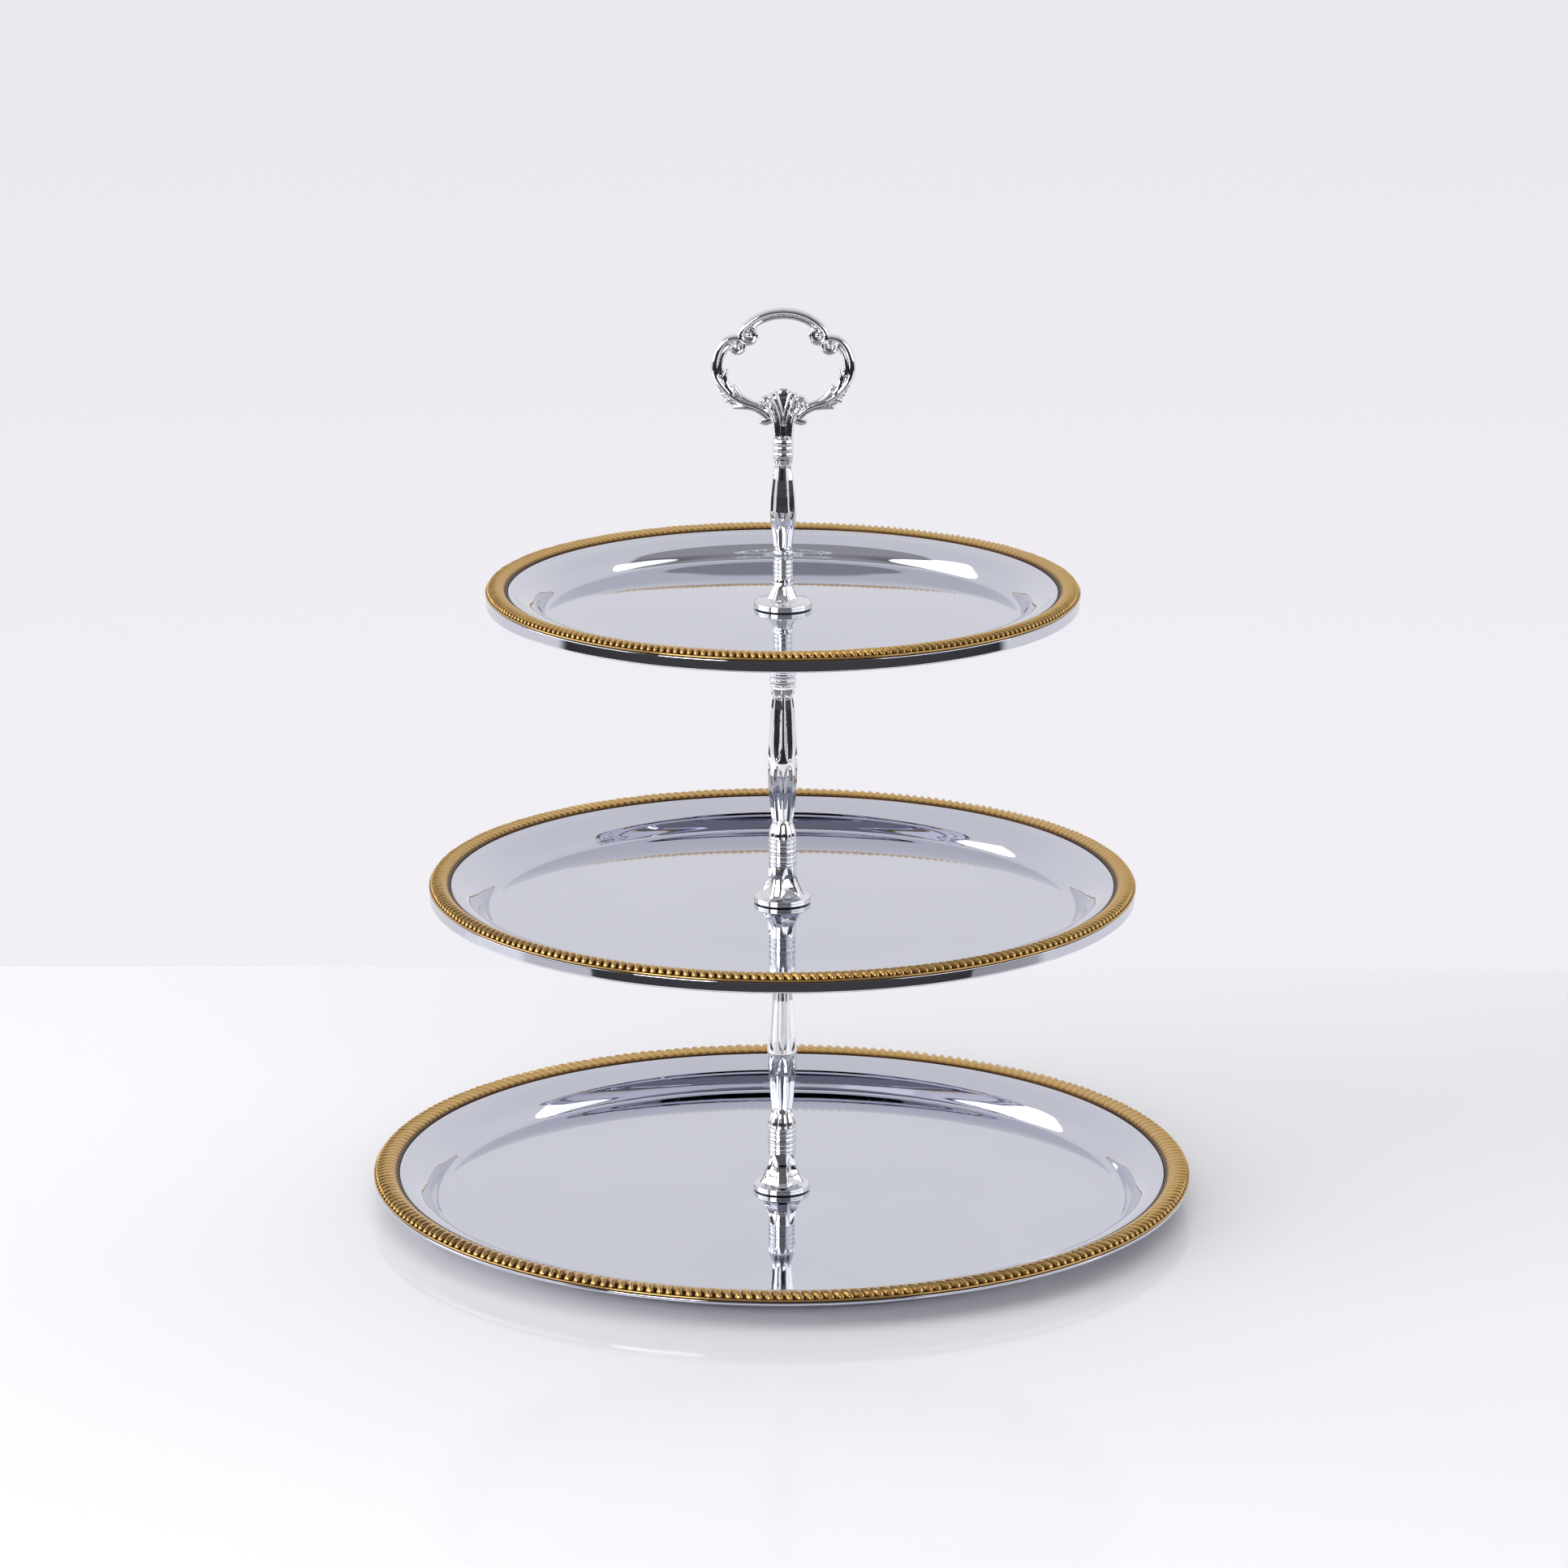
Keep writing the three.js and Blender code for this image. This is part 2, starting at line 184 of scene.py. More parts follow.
class Nodes:
    """A short way to write a node material."""

    def __init__(self, name):
        self.material = bpy.data.materials.new(name)
        self.material.use_nodes = True
        self.tree = self.material.node_tree
        self.shader = self.tree.nodes["Principled BSDF"]
        self.place = self.add("ShaderNodeTexCoord").outputs["Object"]

    def add(self, kind, **inputs):
        node = self.tree.nodes.new(kind)
        for key, value in inputs.items():
            self.put(node.inputs[key.replace("_", " ")], value)
        return node

    def put(self, socket, value):
        if isinstance(value, bpy.types.NodeSocket):
            self.tree.links.new(value, socket)
        else:
            socket.default_value = value

    def noise(self, scale, detail=3.0, place=None):
        """Noise with scale in waves per metre."""
        node = self.add("ShaderNodeTexNoise", Scale=scale, Detail=detail)
        self.put(node.inputs["Vector"], place or self.place)
        return node.outputs["Fac"]

    def stretched(self, x, y, z):
        node = self.add("ShaderNodeMapping")
        node.inputs["Scale"].default_value = (x, y, z)
        self.put(node.inputs["Vector"], self.place)
        return node.outputs["Vector"]

    def ramp(self, value, *stops):
        node = self.add("ShaderNodeValToRGB")
        self.put(node.inputs["Fac"], value)
        elements = node.color_ramp.elements
        while len(elements) < len(stops):
            elements.new(0.5)
        for element, (at, colour) in zip(elements, stops):
            element.position = at
            element.color = (*colour, 1) if isinstance(colour, tuple) else (colour, colour, colour, 1)
        return node.outputs["Color"]

    def span(self, value, low, high):
        """A 0 to 1 value spread from low to high."""
        node = self.add("ShaderNodeMapRange", To_Min=low, To_Max=high)
        self.put(node.inputs["Value"], value)
        return node.outputs["Result"]

    def bump(self, height, distance, strength=1.0, under=None):
        node = self.add("ShaderNodeBump", Distance=distance, Strength=strength, Height=height)
        if under is not None:
            self.put(node.inputs["Normal"], under)
        return node.outputs["Normal"]

    def attribute(self, name):
        node = self.add("ShaderNodeAttribute")
        node.attribute_name = name
        return node.outputs["Fac"]

    def finish(self, **inputs):
        for key, value in inputs.items():
            self.put(self.shader.inputs[key.replace("_", " ")], value)
        return self.material


def silver_plate():
    """Bright plate on pressed sheet: a cool mirror with a faint ripple and fine wiping marks."""
    n = Nodes("silver_plate")
    ripple = n.bump(n.noise(80, 1), 0.000016)
    grain = n.bump(n.noise(850, 3), 0.0000055, n.attribute("relief"), ripple)
    tone = n.ramp(n.noise(14, 3), (0.3, (0.655, 0.665, 0.745)), (0.75, (0.69, 0.70, 0.775)))
    return n.finish(
        Base_Color=tone, Metallic=1.0, Roughness=n.span(n.noise(40, 5), 0.015, 0.045), Normal=grain
    )


def gold_plate():
    """Gold plate on pressed gadroons, with painted shade: coloured down to dark brown in the hollows,
    towards the inner edge and underneath.
    """
    n = Nodes("gold_plate")
    # Painted shade: the relief value darkens the gold where the surface is low or tucked away.
    painted_hollow_shade = n.ramp(
        n.attribute("relief"),
        (0.0, (0.035, 0.015, 0.005)),
        (0.4, (0.12, 0.055, 0.014)),
        (0.72, (0.47, 0.28, 0.088)),
        (1.0, (0.70, 0.455, 0.17)),
    )
    grain = n.bump(n.noise(1500, 3), 0.00001)
    return n.finish(
        Base_Color=painted_hollow_shade, Metallic=1.0, Roughness=n.span(n.noise(260, 4), 0.10, 0.2), Normal=grain
    )


def chrome(name="chrome", pitting=0.000018):
    """Chromed zinc casting: a hard mirror with a faintly pitted skin."""
    n = Nodes(name)
    waves = n.bump(n.noise(420, 3), pitting)
    pits = n.bump(n.noise(2200, 2), pitting * 0.12, under=waves)
    tone = n.ramp(n.noise(60, 3), (0.3, (0.80, 0.81, 0.83)), (0.8, (0.90, 0.91, 0.93)))
    return n.finish(
        Base_Color=tone, Metallic=1.0, Roughness=n.span(n.noise(150, 4), 0.02, 0.07), Normal=pits
    )


def zinc_steel():
    """Zinc-plated steel with turning marks."""
    n = Nodes("steel")
    marks = n.bump(n.noise(700, 2, n.stretched(1, 1, 9)), 0.000012)
    tone = n.ramp(n.noise(120, 4), (0.25, (0.34, 0.34, 0.35)), (0.8, (0.56, 0.56, 0.57)))
    return n.finish(
        Base_Color=tone, Metallic=1.0, Roughness=n.span(n.noise(300, 4), 0.24, 0.42), Normal=marks
    )


def clear_plastic():
    """Slightly cloudy clear plastic."""
    n = Nodes("clear_plastic")
    tone = n.ramp(n.noise(200, 3), (0.3, (0.80, 0.84, 0.86)), (0.8, (0.90, 0.93, 0.94)))
    return n.finish(Base_Color=tone, Roughness=n.span(n.noise(500, 3), 0.12, 0.3), Alpha=0.55)


# ---------------------------------------------------------------- trays


def offset(line, distance):
    """The parallel of a line, on its right-hand side."""
    along = np.gradient(line, axis=0)
    along /= np.linalg.norm(along, axis=1)[:, None]
    return line + distance * np.column_stack([along[:, 1], -along[:, 0]])


def tray_body(level):
    """The lower tray is the root of the stand."""
    return "base" if level == "lower" else f"{level}_tray"


def tray_sheet(level):
    """Pressed sheet: domed floor, steep wall, sloping flange, crease and a turned-down rim."""
    low, high = box(f"{level}_tray")
    radius = box(f"{level}_tray_border")[1][0]
    edge = low[2] + SHEET  # top of the floor's edge
    depth = high[2] - edge - 0.4
    border, crease = BORDER[level], CREASE[level]
    skirt, slope = SKIRT[level]
    lean = (skirt - 1.25) * math.tan(math.radians(slope))
    run, fall = FLANGE[level]
    brow = crease + run  # where the flange turns down into the wall
    foot = brow + 3.7
    hole, seat, rise = 2.9, 14.0, 2.2  # the screw's hole, the flat round it, the floor's dome
    floor_radius = radius - foot - 1.5
    flat = floor_radius - 6.0
    segments = 384

    def dome(r):
        return rise / 2 * (1 + np.cos(np.pi * np.clip((r - seat) / (flat - seat), 0, 1)))

    inner = [(r, dome(r)) for r in np.linspace(seat, flat, 50)]
    knee = depth - fall
    toe = 0.75
    wall = [(foot, 0.0), (foot - 0.45, toe), (foot - 1.8, (toe + knee) / 2), (brow, knee)]
    wall += [(brow - run * t * 0.94, depth - fall * (1 - t) ** 1.5) for t in (0.25, 0.55, 0.8, 1.0)]
    # distance in from the outer edge, and height: the crease, the seat of the border, the turned-down rim
    step = [
        (crease + 0.25, depth + 0.05),
        (crease - 0.2, depth + 0.32),
        (border + 1.7, depth + 0.36),
        (border + 1.0, depth + 0.55),
        (border + 0.35, depth + 0.36),
        (border - 0.1, depth - 0.35),
        (1.5, depth - 0.9),
        (0.4 + lean, depth - 0.92),
        (0.28 + lean, depth - 1.1),
        (0.28, depth - skirt + 0.15),
        (0.34, depth - skirt),
    ]
    floor = softened([(hole, rise), *inner, (floor_radius, 0.0)], 2.0, 0.6)
    side = softened([(floor_radius, 0.0), *[(radius - u, h) for u, h in wall]], 0.9, 0.25)
    rim = softened([(radius - u, h) for u, h in step], 0.14, 0.1)
    top = np.vstack([floor, side[1:], rim])
    keep = np.concatenate([[True], np.linalg.norm(np.diff(top, axis=0), axis=1) > 0.02])
    top = top[keep]
    under = offset(top, SHEET)
    turn = np.linspace(0, math.pi, 7)[1:-1]  # the cut edge of the sheet is rounded
    middle, half = (top[-1] + under[-1]) / 2, (top[-1] - under[-1]) / 2
    across = np.array([half[1], -half[0]])
    roll = [middle + half * math.cos(t) + across * math.sin(t) for t in turn]
    ring = np.vstack([top, roll, under[::-1]])
    ring[:, 1] += edge
    grained = 1 - smooth_step(floor_radius - 4, floor_radius - 1, ring[:, :1])  # the wall is smooth
    relief = np.repeat(grained, segments, 1)
    obj = turned(f"{level}_tray_sheet", ring, segments, relief=relief)
    settle(obj, SILVER, tray_body(level), [f"{level}_tray"])


def gadroon_profiles(across, start, share):
    """Height of the border along the crown of a gadroon and along the hollow beside it.
    across is the distance from the outer edge, share runs from 0 to 1 over the gadroons."""
    crown = np.interp(
        share,
        [0, 0.03, 0.07, 0.14, 0.3, 0.48, 0.65, 0.8, 0.92, 1.0],
        [0.35, 1.2, 1.7, 2.15, 2.5, LIP, 2.45, 2.05, 1.45, 0.8],
    )
    hollow = np.interp(
        share,
        [0, 0.08, 0.2, 0.35, 0.5, 0.7, 0.88, 1.0],
        [0.2, 0.1, 0.25, 0.95, 1.8, 1.95, 1.3, 0.5],
    )
    outer = np.interp(across, [0, 0.1, 0.25, 0.4, start], [0, 0.2, 0.3, 0.32, 0.3])
    return np.where(across < start, outer, crown), np.where(across < start, outer, hollow)


def gadroon_section(t, share):
    """Section through a gadroon, 0 in the hollow to 1 on its crest; t runs from -1 to 1 across it."""
    crest = 0.58  # each one is highest past its middle
    nose = np.sqrt(np.clip(1 - (1 - share / 0.16) ** 2, 0.02, 1)) * (share < 0.16) + (share >= 0.16)
    tail = 1 - 0.35 * smooth_step(0.86, 1.0, share)
    side = (np.clip(t / (nose * tail), -1, 1) + 1) / 2
    falling = np.cos(np.pi / 2 * np.clip((side - crest) / (1 - crest), 0, 1))
    ridge = np.where(side < crest, np.sin(np.pi / 2 * side / crest) ** 1.15, falling**0.9)
    knob = np.sin(np.pi * side**1.35) ** 0.7
    outer_end = 1 - smooth_step(0.12, 0.3, share)
    return ridge + (knob - ridge) * outer_end


def tray_border(level):
    """A gold border of slanted gadroons between a smooth outer lip and a beaded inner edge."""
    _, high = box(f"{level}_tray_border")
    radius, base = high[0], high[2] - LIP
    width = BORDER[level]
    start, end = 0.6, width - 1.05  # the gadroons lie between these distances from the outer edge
    columns = LOBES * 14
    slant = 2.9  # how much further round the outer end of a gadroon lies

    lobe = start + (end - start) * np.linspace(0, 1, 25) ** 1.15
    across = np.concatenate([np.linspace(0, start, 6)[:-1], lobe, np.linspace(end, width, 6)[1:]])[:, None]
    share = np.clip((across - start) / (end - start), 0, 1)
    crown, hollow = gadroon_profiles(across, start, share)

    angle = np.arange(columns) * 2 * math.pi / columns
    phase = (angle - slant * (0.5 - share) / radius) * LOBES / (2 * math.pi)
    if level == "lower":
        phase = phase + 0.05 * np.sin(2 * math.pi * phase / 3)  # its gadroons come in threes
    number = np.floor(phase)
    section = gadroon_section(2 * (phase - number) - 1, share)
    uneven = 1 + 0.05 * np.sin(number * 12.9898 + 4.1 * np.sin(number * 0.37))
    height = hollow + (crown - hollow) * section * uneven
    inner = smooth_step(end - 0.1, end + 0.25, across)
    beads = 0.62 + 0.3 * np.sqrt(np.clip(1 - (2 * ((2 * phase) % 1) - 1) ** 2, 0, 1))
    drop = 1 - smooth_step(width - 0.3, width, across) * 0.8
    height = height * (1 - inner) + beads * inner * drop

    # Painted shade for the gold: darker where a gadroon falls below its crown, on the beaded inner edge and
    # at the inner end, so its reflection in the floor is dark too
    relief = np.clip(height / np.maximum(crown, 0.4), 0, 1)
    relief = np.where(across < start, 0.9, relief)
    relief = relief * (1 - 0.65 * inner) * (1 - 0.4 * smooth_step(0.86, 1.0, share))
    under = [(width - 0.15, -0.25), (width * 0.5, -0.45), (0.35, -0.6), (0.02, -0.35)]
    under_in, under_height = (np.array(values)[:, None] + 0 * angle for values in zip(*under))
    r = radius - np.vstack([across + 0 * angle, under_in])
    z = base + np.vstack([height, under_height])
    # the border's underside gets a darker painted shade
    relief = np.vstack([relief, 0.3 + 0 * under_height])
    points = np.stack([r * np.sin(angle), -r * np.cos(angle), z], -1).reshape(-1, 3)
    obj = new_mesh(f"{level}_gold_border", points, grid_quads(len(r), columns, True), relief)
    settle(obj, GOLD, tray_body(level), [f"{level}_tray_border"])


# ---------------------------------------------------------------- stems


def ring_stack(low, high, shares, crest, groove):
    """Half-round rings between two heights; shares are their relative thicknesses."""
    edges = low + (high - low) * np.cumsum([0, *shares]) / sum(shares)
    points = []
    for bottom, top in zip(edges[:-1], edges[1:]):
        for t in np.linspace(0.06, 0.94, 9):
            bulge = math.sin(math.pi * t) ** 0.55
            points.append((groove + (crest - groove) * bulge, bottom + t * (top - bottom)))
    return points


def foot_line(flange):
    """From the blind bore down, round the washer's recess and up the side of the flange."""
    bore, deep = BORE["M5"], 9.5
    washer, recess = 8.3, 0.9
    flange_height = 2.7
    return [
        (0, deep),
        (bore, deep),
        (bore, recess),
        (washer, recess),
        (washer, 0.15),
        (washer + 0.15, 0),
        (flange - 0.3, 0),
        (flange - 0.05, 0.35),
        (flange, 0.8),
        (flange - 0.12, 1.1),
        (flange - 0.3, 1.2),
        (flange - 0.12, 1.35),
        (flange - 0.1, 1.8),
        (flange - 0.35, flange_height - 0.3),
        (flange - 0.9, flange_height - 0.02),
    ]


def top_bore(bore, top):
    """From the top face in over the bore's chamfer and down to its blind end."""
    chamfer, deep = 0.2, 9.5
    return [(bore + chamfer, top), (bore, top - chamfer), (bore, top - deep), (0, top - deep)]


def between(angle, turn, count):
    """Angle from the middle of the nearest of count equal sectors; a sector faces turn."""
    sector = 2 * math.pi / count
    return (angle - math.radians(turn) + sector / 2) % sector - sector / 2


def scoop(offset_angle, half_width):
    """1 in the middle of a hollow, 0 at its edges and outside."""
    return np.clip(1 - (offset_angle / np.maximum(half_width, 1e-4)) ** 2, 0, 1)


def arch_width(height, springing, top, half_width):
    """Half width of a round-topped opening at each height. top may be below springing."""
    t = np.clip((height - springing) / (top - springing), 0, 1)
    return half_width * np.sqrt(np.clip(1 - t * t, 0, 1))


def flutes(height, flute, wide, foot, low_arch, high_arch, head):
    """Flutes below and above a waist. They fade in along foot and out along head, and end at the
    waist in round arches, each given as its springing and its top."""
    low = scoop(flute, arch_width(height, *low_arch, wide)) * (height < low_arch[1])
    high = scoop(flute, arch_width(height, *high_arch, wide)) * (height > high_arch[1])
    return low * smooth_step(*foot, height) + high * (1 - smooth_step(*head, height))


def round_groove(flute):
    """The groove between eight round beads: 0 on a bead, 1 between two."""
    return 1 - np.sqrt(np.clip(1 - (flute / math.radians(22.5)) ** 2, 0, 1))


def arches(height, angle, turn, base, springing, top):
    """Four tall hollows in a foot, with a lower scoop that flares out to the base. The head of a
    stem is the same turned over, with its top below its base."""
    a = between(angle, turn + 45, 4)
    half = math.radians(30)
    upward = 1 if top > base else -1
    rel, spring, peak = (height - base) * upward, (springing - base) * upward, (top - base) * upward
    upper = scoop(a, arch_width(rel, spring, peak, half * 0.9)) ** 0.8 * smooth_step(3.4, 4.4, rel)
    lower = scoop(a, half * (1.02 - 0.1 * smooth_step(0, 4, rel))) ** 0.7
    lower = lower * smooth_step(0.0, 0.5, rel) * (1 - smooth_step(3.7, 4.5, rel))
    return 1.15 * upper + (1.1 + 0.35 * np.clip(rel, 0, 4)) * lower * 0.75


def tier_shape(turn, top):
    """The cuts in a tier stem: arches, a beaded ring, flutes and a knop. A flute faces turn."""
    bore_wall = 3.4  # nothing nearer the axis is cut
    wide = math.radians(18.5)
    foot_base, foot_top = 2.75, 16.6
    head_base, head_top = top - 2.5, top - 21

    def shape(radius, height, angle):
        flute = between(angle, turn, 8)
        foot = arches(height, angle, turn, foot_base, 8.5, 16.2)
        head = arches(height, angle, turn, head_base, top - 12, top - 20.5)
        cut = foot * ((height > foot_base) & (height < foot_top))
        cut = cut + head * ((height < head_base) & (height > head_top))
        cut = cut + 0.75 * round_groove(flute) * band(height, (27.6, 28.4), (34.0, 34.7))
        fluting = flutes(height, flute, wide, (34.6, 36.5), (53.0, 60.5), (71.0, 62.5), (88.6, 90.0))
        cut = cut + 0.8 * fluting
        cut = cut + 0.5 * scoop(flute, wide) * band(height, (90.0, 90.8), (94.4, 95.1))
        return radius - cut * (radius > bore_wall), height

    return shape


def tier_line(top):
    """Half the section of a tier stem: flange, foot, rings, bead, baluster, knop, rings, head."""
    return [
        *foot_line(12.25),
        (9.5, 2.7),
        (9.3, 2.95),
        (8.5, 4.4),
        (7.55, 6.6),
        (6.65, 8.8),
        (6.05, 10.8),
        (5.9, 12.4),
        (5.85, 16.7),
        *ring_stack(17.0, 27.4, [1.0, 1.0, 1.35, 1.0, 1.0], 6.05, 5.35),
        (5.4, 27.6),
        (5.95, 28.2),
        (6.05, 29.2),
        (5.8, 30.6),
        (5.1, 32.8),
        (4.4, 34.4),
        (4.3, 34.9),
        (4.75, 38.0),
        (5.2, 41.3),
        (5.8, 48.5),
        (6.2, 55.8),
        (6.32, 61.5),
        (6.2, 65.0),
        (5.95, 70.3),
        (5.45, 77.5),
        (4.9, 84.8),
        (4.35, 89.6),
        (4.3, 90.1),
        (5.0, 91.4),
        (5.6, 93.4),
        (5.72, 94.7),
        (5.3, 95.3),
        *ring_stack(95.5, 103.5, [1, 1, 1], 5.85, 5.2),
        (5.85, 104.2),
        (5.9, 112.0),
        (6.6, top - 10.5),
        (7.6, top - 6.0),
        (8.6, top - 3.0),
        (9.7, top - 2.5),
        (10.0, top - 2.1),
        (10.0, top - 0.3),
        (9.75, top),
        *top_bore(BORE["M5"], top),
    ]


def tier_stem(level):
    """One of the two like castings between the trays."""
    low, high = box(f"{level}_stem")
    top = high[2] - low[2]
    line = softened(tier_line(top), 0.1, 0.2)
    line[0, 0] = line[-1, 0] = 0
    line = np.maximum(line, [0, 0])
    obj = turned(f"{level}_stem_casting", line, 192, tier_shape(STEM_TURN[level], top))
    obj.location.z = low[2] * MM
    settle(obj, CHROME, f"{level}_stem", [f"{level}_stem"])


def upper_line(top):
    """Half the section of the upper stem, thinner and shorter than a tier stem."""
    return [
        *foot_line(12.35),
        (11.2, 3.0),
        (9.2, 3.45),
        (7.0, 3.75),
        (6.85, 3.95),
        (5.7, 6.0),
        (4.6, 8.2),
        (3.95, 9.6),
        (4.35, 10.1),
        (4.5, 11.2),
        (4.3, 12.4),
        *ring_stack(12.8, 20.4, [1, 1, 1, 1], 4.2, 3.7),
        (3.9, 20.8),
        (4.25, 21.8),
        (4.2, 23.6),
        (3.62, 24.6),
        (3.7, 25.2),
        (4.05, 27.2),
        (4.5, 30.7),
        (5.0, 34.2),
        (5.3, 37.6),
        (5.7, 41.6),
        (5.3, 48.0),
        (4.5, 55.0),
        (3.6, 61.2),
        (3.65, 61.6),
        (4.2, 63.2),
        (4.1, 64.0),
        *ring_stack(64.2, 71.9, [1, 1.1, 1.1], 4.48, 4.0),
        (4.1, top - 0.15),
        (3.9, top),
        *top_bore(BORE["M4"], top),
    ]


def upper_shape(turn):
    """The cuts in the upper stem: a faceted foot, three beaded knops and flutes."""
    bore_wall = 3.0
    wide = math.radians(19.5)
    knops = [((9.9, 10.4), (12.2, 12.7)), ((20.8, 21.4), (23.8, 24.6)), ((61.6, 62.2), (63.6, 64.2))]

    def shape(radius, height, angle):
        flute = between(angle, turn, 8)
        cut = 0.6 * scoop(flute, wide) * band(height, (3.8, 4.2), (9.2, 9.7)) * (radius / 6)
        beaded = sum(band(height, *knop) for knop in knops)
        cut = cut + 0.45 * round_groove(flute) * beaded
        fluting = flutes(height, flute, wide, (24.8, 26.5), (31.0, 36.0), (45.0, 38.0), (60.0, 61.2))
        cut = cut + 0.58 * fluting
        return radius - cut * (radius > bore_wall), height

    return shape


def upper_stem():
    """The casting between the upper tray and the handle."""
    low, high = box("upper_stem")
    top = high[2] - low[2]
    line = softened(upper_line(top), 0.1, 0.2)
    line[0, 0] = line[-1, 0] = 0
    obj = turned("upper_stem_casting", line, 192, upper_shape(STEM_TURN["upper"]))
    obj.location.z = low[2] * MM
    settle(obj, CHROME, "upper_stem", ["upper_stem"])


# ---------------------------------------------------------------- fasteners


def threaded(pitch, depth, low, high, inner=1.0):
    """A helical thread cut into a plain shank between two heights."""

    def shape(radius, height, angle):
        turn = (height / pitch - angle / (2 * math.pi)) % 1
        tooth = np.abs(2 * turn - 1)
        run = smooth_step(low, low + pitch, height) * (1 - smooth_step(high - pitch, high, height))
        return radius - depth * tooth * run * (radius > inner), height

    return shape


def stud(name, pitch):
    """A rod threaded from end to end, chamfered at both."""
    low, high = box(name)
    radius, length = high[0], high[2] - low[2]
    tip = 0.5
    side = [(radius - tip, 0), (radius, tip), (radius, length - tip), (radius - tip, length)]
    line = spaced([(0, 0), *side, (0, length)], pitch / 8)
    line[0, 0] = line[-1, 0] = 0
    thread = threaded(pitch, 0.6 * pitch, 0.3, length - 0.3, radius - 0.2)
    obj = turned(f"{name}_threaded", line, 48, thread)
    obj.location.z = low[2] * MM
    settle(obj, STEEL, name, [name])


def foot_screw():
    """Thin slotted head under the tray, and a threaded shank up into the lower stem."""
    low, high = box("foot_screw")
    rim, length = high[0], high[2] - low[2]
    head, shank, pitch = 0.8, 2.4, 0.8
    slot_depth = 0.45
    head_line = [(0, 0), (rim - 0.3, 0), (rim, 0.3), (rim, head - 0.1), (rim - 0.1, head)]
    shank_line = [(shank, head), (shank, length - 0.5), (shank - 0.5, length), (0, length)]
    line = spaced([*head_line, *shank_line], 0.1)
    line[0, 0] = line[-1, 0] = 0
    thread = threaded(pitch, 0.6 * pitch, head + 0.8, length - 0.3, shank - 0.2)

    def shape(radius, height, angle):
        radius, height = thread(radius, height, angle)
        y = np.abs(radius * np.cos(angle))
        x = np.abs(radius * np.sin(angle))
        slot = (1 - smooth_step(0.5, 0.6, y)) * (1 - smooth_step(3.5, 3.6, x))
        return radius, np.where(height < slot_depth, height + (slot_depth - height) * slot, height)

    obj = turned("foot_screw_slotted", line, 96, shape)
    obj.location.z = low[2] * MM
    settle(obj, STEEL, "base", ["foot_screw"])


def washer(name, body, material, slot):
    """A flat ring with broken edges."""
    low, high = box(name)
    bore, edge = BORE["M5"], 0.1
    radius, thick = high[0], high[2] - low[2]
    under = [(bore, edge), (bore + edge, 0), (radius - edge, 0), (radius, edge)]
    over = [(radius, thick - edge), (radius - edge, thick), (bore + edge, thick), (bore, thick - edge)]
    ring = spaced([*under, *over, under[0]], 0.08)[:-1]
    obj = turned(f"{name}_ring", ring, 96)
    obj.location.z = low[2] * MM
    settle(obj, material, body, [name])


# ---------------------------------------------------------------- handle


def tube(points, radii, flat=1.0, sides=20):
    """A rod along points in the plane of the handle: (x, z) and its half width; flat is its
    half depth over its half width. Ends are rounded off."""
    points = np.array(points, float)
    radii = np.broadcast_to(np.array(radii, float), (len(points),))
    flat = np.broadcast_to(np.array(flat, float), (len(points),))
    along = np.gradient(points, axis=0)
    along /= np.linalg.norm(along, axis=1)[:, None]
    side = np.column_stack([along[:, 1], -along[:, 0]])
    reach = np.array([0.35, 0.7, 0.92])  # how far out the rings of a rounded end lie
    shrink = np.sqrt(1 - reach**2)
    before = points[0] - along[0] * radii[0] * reach[::-1, None]
    after = points[-1] + along[-1] * radii[-1] * reach[:, None]
    centre = np.vstack([before, points, after])
    size = np.concatenate([radii[0] * shrink[::-1], radii, radii[-1] * shrink])
    side = np.vstack([side[:1]] * len(reach) + [side] + [side[-1:]] * len(reach))
    flat = np.concatenate([[flat[0]] * len(reach), flat, [flat[-1]] * len(reach)])
    turn = np.arange(sides) * 2 * math.pi / sides
    x = centre[:, 0, None] + side[:, 0, None] * size[:, None] * np.cos(turn)
    z = centre[:, 1, None] + side[:, 1, None] * size[:, None] * np.cos(turn)
    y = (size * flat)[:, None] * np.sin(turn)
    rings = np.stack([x, y, z], -1).reshape(-1, 3)
    ends = np.vstack([rings[:sides].mean(0), rings[-sides:].mean(0)])
    corner = np.arange(sides)
    following = (corner + 1) % sides
    last = (len(size) - 1) * sides
    low_cap = np.column_stack([np.full(sides, len(rings)), following, corner])
    high_cap = np.column_stack([np.full(sides, len(rings) + 1), last + corner, last + following])
    return np.vstack([rings, ends]), grid_quads(len(size), sides, False), np.vstack([low_cap, high_cap])


def ball(x, z, radius, depth):
    """A ball or a flat disc; depth is its half depth."""
    return tube([(x, z - 0.02 * radius), (x, z + 0.02 * radius)], radius, depth / radius)


def spiral(centre, start_angle, turns, outer, inner, count=40):
    """Points of a spiral in the (x, z) plane, from the outside in."""
    t = np.linspace(0, 1, count)
    radius = outer + (inner - outer) * t
    angle = math.radians(start_angle) + turns * 2 * math.pi * t
    return np.column_stack([centre[0] + radius * np.cos(angle), centre[1] + radius * np.sin(angle)])


def mirrored(parts):
    """The parts and their mirror images."""
    both = []
    for points, quads, triangles in parts:
        both.append((points, quads, triangles))
        both.append((points * [-1, 1, 1], quads[:, ::-1], triangles[:, ::-1]))
    return both


def rib(points, sizes, depth=2.2, count=24):
    """A tapering rib along a curve; sizes are half widths at even steps, depth its half depth."""
    size = np.interp(np.linspace(0, 1, count), np.linspace(0, 1, len(sizes)), sizes)
    return tube(curve(points, count), size, depth / size)


